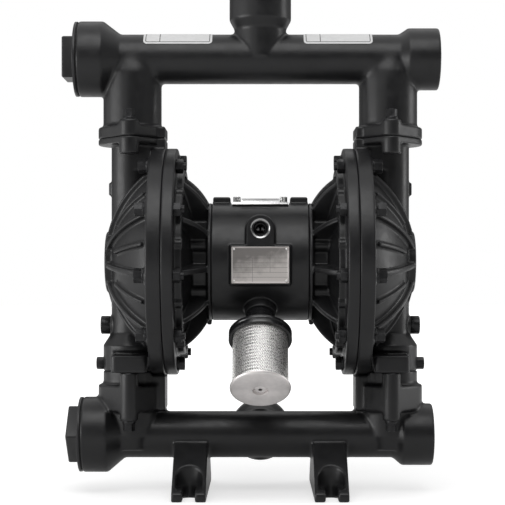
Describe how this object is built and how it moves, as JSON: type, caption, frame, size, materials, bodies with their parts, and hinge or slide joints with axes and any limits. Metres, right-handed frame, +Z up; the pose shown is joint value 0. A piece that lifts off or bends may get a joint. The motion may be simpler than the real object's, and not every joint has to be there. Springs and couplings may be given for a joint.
{
  "type": "air-operated double diaphragm pump",
  "caption": "Black air-operated double diaphragm pump: finned chambers either side of a centre body, pipe manifolds above and below, feet and an exhaust muffler.",
  "frame": {"origin": "on the floor, midway between the feet and on the plane of the pipes", "axes": "+Z up, +X along the chamber axis towards the open ports, -Y the front with the air inlet"},
  "size_m": [0.4861, 0.2993, 0.648],
  "materials": {
    "black_coating": "satin black powder coat over cast aluminium, fine cast texture",
    "dark_fasteners": "black coated steel, satin",
    "plated_screws": "bright plated steel",
    "bright_cover": "bright machined",
    "nameplate_metal": "brushed, with plain blank fields",
    "rivet_metal": "satin",
    "muffler_plastic": "moulded black",
    "muffler_mesh": "fine diagonal wire mesh",
    "muffler_disc": "satin pressed",
    "label_film": "white film, blank",
    "gasket_rubber": "matt",
    "diaphragm_rubber": "matt",
    "ball_rubber": "ground",
    "machined_aluminium": "machined",
    "ground_steel": "ground",
    "bronze": "turned"
  },
  "bodies": {
    "pump": {"air_cap_screws": "dark_fasteners", "air_cap_seals": "gasket_rubber", "blank_labels": "label_film", "centre_body": "black_coating", "drain_plugs": "dark_fasteners", "inlet_manifold": "black_coating", "inlet_side_plug": "black_coating", "left_air_cap": "black_coating", "left_chamber_bolts": "dark_fasteners", "left_chamber_nuts": "dark_fasteners", "left_chamber_screws": "dark_fasteners", "left_diaphragm": "diaphragm_rubber", "left_fluid_cap": "black_coating", "left_lower_seat": "ground_steel", "left_upper_seat": "ground_steel", "lower_joint_bolts": "dark_fasteners", "muffler_cap": "muffler_plastic", "muffler_end_disc": "muffler_disc", "muffler_mesh": "muffler_mesh", "muffler_rod": "plated_screws", "nameplate": "nameplate_metal", "nameplate_rivets": "rivet_metal", "outlet_manifold": "black_coating", "outlet_side_plug": "black_coating", "pilot_bushes": "bronze", "plug_gaskets": "gasket_rubber", "purge_plugs": "dark_fasteners", "right_air_cap": "black_coating", "right_chamber_bolts": "dark_fasteners", "right_chamber_nuts": "dark_fasteners", "right_chamber_screws": "dark_fasteners", "right_diaphragm": "diaphragm_rubber", "right_fluid_cap": "black_coating", "right_lower_seat": "ground_steel", "right_upper_seat": "ground_steel", "seat_rings": "gasket_rubber", "shaft_bushings": "bronze", "shaft_seals": "gasket_rubber", "upper_joint_bolts": "dark_fasteners", "valve_cover": "bright_cover", "valve_cover_gasket": "gasket_rubber", "valve_cover_screws": "plated_screws", "valve_end_caps": "machined_aluminium", "valve_sleeve": "machined_aluminium"},
    "shaft": {"connecting_shaft": "ground_steel", "right_outer_plate": "machined_aluminium", "left_outer_plate": "machined_aluminium", "right_inner_washer": "machined_aluminium", "left_inner_washer": "machined_aluminium"},
    "pilot": {"pilot_rod": "ground_steel"},
    "spool": {"valve_spool": "machined_aluminium", "spool_rings": "gasket_rubber"},
    "right_upper_check": {"right_upper_ball": "ball_rubber"},
    "right_lower_check": {"right_lower_ball": "ball_rubber"},
    "left_upper_check": {"left_upper_ball": "ball_rubber"},
    "left_lower_check": {"left_lower_ball": "ball_rubber"}
  },
  "joints": [
    {"name": "shaft_slide", "type": "slide", "parent": "pump", "child": "shaft", "axis": [1, 0, 0], "range_m": [-0.02, 0.02], "deforming": ["right_diaphragm", "left_diaphragm"]},
    {"name": "pilot_slide", "type": "slide", "parent": "pump", "child": "pilot", "axis": [1, 0, 0], "range_m": [-0.004, 0.004]},
    {"name": "spool_slide", "type": "slide", "parent": "pump", "child": "spool", "axis": [1, 0, 0], "range_m": [-0.008, 0.008]},
    {"name": "right_upper_lift", "type": "slide", "parent": "pump", "child": "right_upper_check", "axis": [0, 0, 1], "range_m": [0, 0.014]},
    {"name": "right_lower_lift", "type": "slide", "parent": "pump", "child": "right_lower_check", "axis": [0, 0, 1], "range_m": [0, 0.014]},
    {"name": "left_upper_lift", "type": "slide", "parent": "pump", "child": "left_upper_check", "axis": [0, 0, 1], "range_m": [0, 0.014]},
    {"name": "left_lower_lift", "type": "slide", "parent": "pump", "child": "left_lower_check", "axis": [0, 0, 1], "range_m": [0, 0.014]}
  ],
  "couplings": [
    {"joint": "pilot_slide", "follows": "shaft_slide", "ratio": 0.2}
  ]
}
